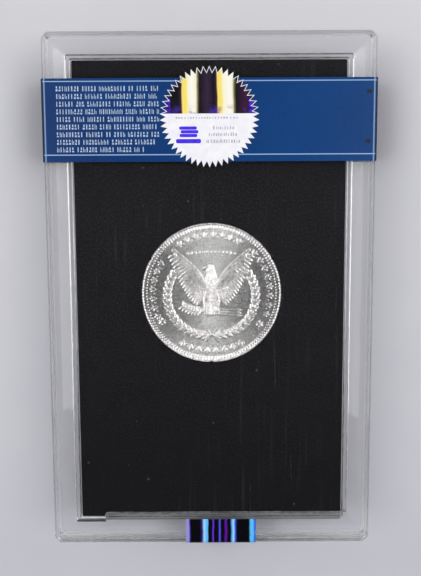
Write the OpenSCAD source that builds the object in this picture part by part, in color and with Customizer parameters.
// Graded coin slab: a clear two-part case, welded shut around a black insert that holds
// one large silver coin. A label band, a serrated seal and an edge strip show tampering.
// The rear of the case faces up, +Z, and the top end of the case points along +Y.
// The origin is on the plane that the slab rests on, below the middle of its outline.

/* [Case] */
// Width of the clear case
case_w = 87.2; // [86:0.1:100]
// Length of the clear case
case_l = 138.2; // [138:0.1:160]
// Thickness of the closed case
case_t = 9.5; // [9:0.1:12]
// Radius of the outline's corners
corner_r = 2.2; // [1.5:0.1:4]
// Radius of the rounded outer edges, less than that of the corners
edge_r = 1; // [0.6:0.1:1.4]
// Thickness of the window in each half
window_t = 2.2; // [1.5:0.1:2.4]
// Width of the room in the rear half, which is wider than the insert
rear_room_w = 75.3; // [74:0.1:79]
// Length of the room in the rear half
rear_room_l = 126.9; // [126:0.1:130]
// Distance from the outer edge to the tongue
tongue_inset = 0.6; // [0.5:0.1:1.5]
// Width of the tongue that locates the front half in the rear half
tongue_w = 0.8; // [0.5:0.1:0.9]
// Height of that tongue
tongue_h = 0.8; // [0.4:0.1:1.2]

/* [Insert] */
// Width of the two black plates of the insert
insert_w = 71.9; // [60:0.1:73]
// Length of the two black plates
insert_l = 123.8; // [110:0.1:125]
// Depth of the notch in their lower edge, which keys them to the case
notch_depth = 0.95; // [0.5:0.05:1.5]
// Left end of the notch, measured from the centre line; its right end is open
notch_left = -29.5; // [-32:0.5:-20]
// Width of each prong that grips the coin
prong_w = 1.2; // [0.6:0.1:2]
// How far each prong reaches over the coin's rim
prong_reach = 0.45; // [0.2:0.05:0.8]

/* [Coin] */
// Diameter of the coin
coin_d = 38.1; // [30:0.1:40]
// Thickness of the coin at its rim
coin_t = 2.4; // [1.8:0.1:3]
// Width of the raised rim
rim_w = 1.1; // [0.6:0.1:2]
// Depth of the fields below the rim
field_depth = 0.3; // [0.1:0.05:0.4]
// Sideways place of the coin from the case's centre line
coin_x = 0.3; // [-2:0.1:2]
// Place of the coin along the case from its middle
coin_y = 0.5; // [-10:0.1:10]

/* [Label band] */
// Thickness of the film in the band and the edge strip
film_t = 0.2; // [0.1:0.05:0.3]
// Thickness of the adhesive between film and case, left as a gap
film_gap = 0.05; // [0.02:0.01:0.1]
// Width of the band, along the case
band_l = 21.4; // [15:0.1:30]
// Distance from the case's top end to the band
band_from_top = 12; // [6:0.1:20]
// Width of the seam between the band's two ends, which the seal closes
seam_w = 0.4; // [0.2:0.1:1]

/* [Seal] */
// Diameter of the seal over its teeth
seal_d = 26; // [20:0.5:30]
// Number of teeth
seal_teeth = 50; // [30:1:72]
// Depth of a tooth
tooth_depth = 1.6; // [0.5:0.1:2.5]
// Thickness of the seal
seal_t = 0.15; // [0.1:0.05:0.3]
// How far the seal's centre is above the band's middle line
seal_rise = 0.75; // [-1:0.05:1.5]

/* [Edge strip] */
// Left end of the strip, measured from the centre line
strip_left = -7.1; // [-20:0.1:0]
// Right end of the strip
strip_right = 12.2; // [1:0.1:20]
// How far the strip reaches onto each face from the case's lower end
strip_reach = 7; // [4:0.1:12]

/* [Hidden] */
$fn = 64;

clearance = 0.15;                               // around the insert and beside the coin's prongs
key_drop = 4;                                   // how far the key bar reaches down, past the room
cut = 1;                                        // how far a cutting tool runs past a face
least_r = 0.4;                                  // smallest radius of an inner corner
bevel = 0.15;                                   // bevel on the coin's outer edge

film_stack = film_gap + film_t;                 // height of the films above the case
case_y = film_stack / 2;                        // centres the outline, with the strip at one end
split_z = film_stack + case_t / 2;              // where the two halves meet
rear_z = film_stack + case_t;                   // rear face of the case

room_h = case_t / 2 - window_t;                 // depth of the room inside one half
front_room_w = insert_w + 2 * clearance;
front_room_l = insert_l + 2 * clearance;
plate_t = room_h - clearance;                   // thickness of one black plate
hole_r = coin_d / 2 + clearance;
prong_angles = [30, 150, 270];
prong_t = 0.7;
prong_z = coin_t / 2 + 0.05;                    // underside of a prong, just clear of the coin

band_y = case_l / 2 - band_from_top - band_l / 2;
tongue_play = 0.05;                             // room around the tongue in its groove
tongue_root = 0.1;                              // how far the tongue starts inside the front half

// ---- Shapes that repeat ----

// A rectangle with round corners, centred.
module rounded_rect(w, l, r) {
    square([w - 2 * r, l], center = true);
    square([w, l - 2 * r], center = true);
    for (x = [-1, 1], y = [-1, 1])
        translate([x * (w / 2 - r), y * (l / 2 - r)]) circle(r = r);
}

module rounded_plate(w, l, h, r) {
    linear_extrude(h) rounded_rect(w, l, r);
}

// A frame that follows the case's outline, between two distances from its outer edge.
module outline_frame(from, to, h) {
    difference() {
        rounded_plate(case_w - 2 * from, case_l - 2 * from, h, max(corner_r - from, least_r));
        translate([0, 0, -cut])
            rounded_plate(case_w - 2 * to, case_l - 2 * to, h + 2 * cut, max(corner_r - to, least_r));
    }
}

// Section through one half of the case's outer shape: flat below, round at the upper corners.
module half_section(span) {
    h = case_t / 2;
    translate([-span / 2, 0]) square([span, h - edge_r]);
    translate([edge_r - span / 2, 0]) square([span - 2 * edge_r, h]);
    for (side = [-1, 1])
        translate([side * (span / 2 - edge_r), h - edge_r]) circle(r = edge_r);
}

// One half of the case's outer shape, with round edges and corners above.
module half_block() {
    x_in = case_w / 2 - corner_r;
    y_in = case_l / 2 - corner_r;
    rotate([90, 0, 0]) linear_extrude(2 * y_in, center = true) half_section(case_w);
    rotate([90, 0, 90]) linear_extrude(2 * x_in, center = true) half_section(case_l);
    for (x = [-x_in, x_in], y = [-y_in, y_in])
        translate([x, y, 0]) rotate_extrude() intersection() {
            half_section(2 * corner_r);
            square([corner_r, case_t]);
        }
}

// A bar along the insert's lower edge, which fills or cuts the notch. Its upper left corner is
// round, and its right end and lower side run out past the insert.
module key_bar(left, top, h) {
    r = notch_depth;
    run = case_w / 2 - left;
    translate([left + r, top - r, 0]) cylinder(r = r, h = h);
    translate([left + r, top - r, 0]) cube([run - r, r, h]);
    translate([left, top - key_drop, 0]) cube([run, key_drop - r, h]);
}

// One half of the case, split plane at the bottom and window at the top, around a room.
module half_shell(room_w, room_l) {
    difference() {
        half_block();
        difference() {
            translate([0, 0, -cut]) rounded_plate(room_w, room_l, room_h + cut, least_r);
            translate([0, 0, -2 * cut])
                key_bar(notch_left + clearance, -insert_l / 2 + notch_depth - clearance,
                        room_h + 4 * cut);
        }
    }
}

// One black plate of the insert, split plane at the bottom.
module half_insert() {
    difference() {
        rounded_plate(insert_w, insert_l, plate_t, least_r);
        translate([0, 0, -cut])
            key_bar(notch_left, -insert_l / 2 + notch_depth, plate_t + 2 * cut);
        translate([coin_x, coin_y, -cut]) cylinder(r = hole_r, h = plate_t + 2 * cut);
    }
    for (angle = prong_angles)
        translate([coin_x, coin_y, prong_z]) rotate([0, 0, angle]) prong();
}

// A small finger that reaches over the coin's rim, with a round tip.
module prong() {
    tip = coin_d / 2 - prong_reach;
    root = hole_r + 0.3;
    translate([tip + prong_w / 2, -prong_w / 2, 0]) cube([root - tip - prong_w / 2, prong_w, prong_t]);
    translate([tip + prong_w / 2, 0, 0]) cylinder(d = prong_w, h = prong_t);
}

// Section of a film that wraps the case: a thin ring around a face of the given span.
module film_section(span) {
    difference() {
        rounded_rect(span + 2 * film_stack, case_t + 2 * film_stack, edge_r + film_stack);
        rounded_rect(span + 2 * film_gap, case_t + 2 * film_gap, edge_r + film_gap);
    }
}

// Moves a half from its own frame to the rear or the front of the slab.
module at_rear() {
    translate([0, case_y, split_z]) children();
}

module at_front() {
    translate([0, case_y, split_z]) mirror([0, 0, 1]) children();
}

// ---- Sub-parts ----

module rear_shell() {
    color([0.85, 0.87, 0.9, 0.35])
        at_rear() difference() {
            half_shell(rear_room_w, rear_room_l);
            translate([0, 0, -cut])
                outline_frame(tongue_inset - tongue_play, tongue_inset + tongue_w + tongue_play,
                              tongue_h + tongue_play + cut);
        }
}

module front_shell() {
    color([0.85, 0.87, 0.9, 0.35]) {
        at_front() half_shell(front_room_w, front_room_l);
        translate([0, case_y, split_z - tongue_root])
            outline_frame(tongue_inset, tongue_inset + tongue_w, tongue_h + tongue_root);
    }
}

module rear_insert() {
    color([0.1, 0.1, 0.11]) at_rear() half_insert();
}

module front_insert() {
    color([0.1, 0.1, 0.11]) at_front() half_insert();
}

// The coin, turned about its axis: a raised rim around fields that lie a little lower.
module silver_coin() {
    rim_r = coin_d / 2;
    half_t = coin_t / 2;
    field = half_t - field_depth;
    field_r = rim_r - rim_w;
    color([0.78, 0.78, 0.76])
        translate([coin_x, coin_y + case_y, split_z]) rotate_extrude() polygon([
            [0, -field], [field_r - field_depth, -field], [field_r, -half_t],
            [rim_r - bevel, -half_t], [rim_r, bevel - half_t], [rim_r, half_t - bevel],
            [rim_r - bevel, half_t], [field_r, half_t], [field_r - field_depth, field], [0, field]
        ]);
}

// The band goes once around the case. Its two ends meet at a seam in the middle of the rear.
module label_band() {
    color([0.13, 0.27, 0.48])
        translate([0, case_y + band_y, 0]) difference() {
            translate([0, 0, split_z])
                rotate([90, 0, 0]) linear_extrude(band_l, center = true) film_section(case_w);
            translate([-seam_w / 2, -band_l / 2 - cut, rear_z])
                cube([seam_w, band_l + 2 * cut, film_stack + cut]);
        }
}

// The seal's outline alternates between the tip and the root of each tooth.
module round_seal() {
    color([0.88, 0.88, 0.92])
        translate([0, case_y + band_y + seal_rise, rear_z + film_stack])
            linear_extrude(seal_t) polygon([
                for (i = [0 : 2 * seal_teeth - 1])
                    let (angle = 180 * i / seal_teeth, r = seal_d / 2 - (i % 2) * tooth_depth)
                        [r * sin(angle), r * cos(angle)]
            ]);
}

// The strip folds over the lower end of the case, from the rear face to the front face.
module edge_strip() {
    color([0.2, 0.2, 0.5])
        translate([strip_left, case_y, 0]) intersection() {
            translate([0, 0, split_z])
                rotate([90, 0, 90]) linear_extrude(strip_right - strip_left) film_section(case_l);
            translate([-cut, -case_l / 2 - cut, -cut])
                cube([strip_right - strip_left + 2 * cut, strip_reach + cut, rear_z + film_stack + 2 * cut]);
        }
}

rear_shell();
front_shell();
rear_insert();
front_insert();
silver_coin();
label_band();
round_seal();
edge_strip();
